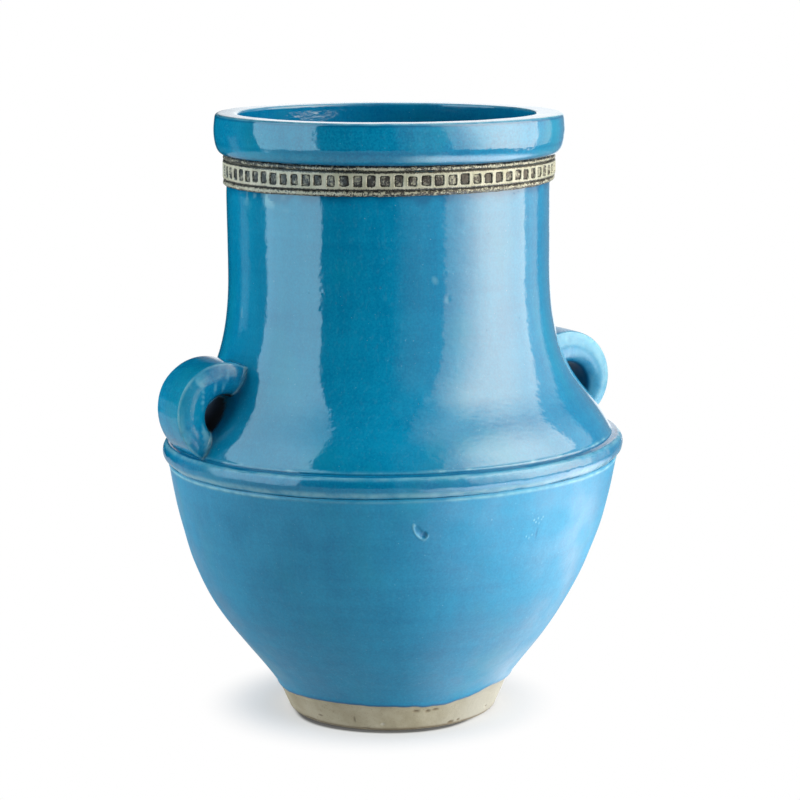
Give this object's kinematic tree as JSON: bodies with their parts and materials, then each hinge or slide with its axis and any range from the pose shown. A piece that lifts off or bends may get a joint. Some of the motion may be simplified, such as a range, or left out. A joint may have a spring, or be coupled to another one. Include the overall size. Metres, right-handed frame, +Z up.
{
  "type": "urn with handles",
  "caption": "Wide-mouthed glazed clay urn with a flared shoulder, a ridge round the belly, a stamped band under a thick rim, a bare clay foot and two small ear handles.",
  "frame": {"origin": "centre of the foot's underside, on the surface that the urn stands on", "axes": "+Z up along the urn's axis, the two handles on +X and -X, the pictured side towards -Y and -X"},
  "size_m": [0.3066, 0.2932, 0.381],
  "materials": {
    "bare_clay": "matte, unglazed buff clay with pits",
    "turquoise_glaze": "glossy turquoise-blue glaze, thin and pale on edges",
    "cream_slip": "satin cream slip",
    "cord_wash": "satin clay with a mottled dark wash",
    "dark_slip": "satin mottled dark slip"
  },
  "bodies": {
    "root": {"foot": "bare_clay", "lower_bowl": "turquoise_glaze", "shoulder_ridge": "turquoise_glaze", "upper_wall": "turquoise_glaze", "rim_collar": "turquoise_glaze", "band_strip": "cream_slip", "band_upper_cord": "cord_wash", "band_lower_cord": "cord_wash", "cell_inlays": "dark_slip", "left_handle": "turquoise_glaze", "right_handle": "turquoise_glaze"}
  },
  "joints": []
}
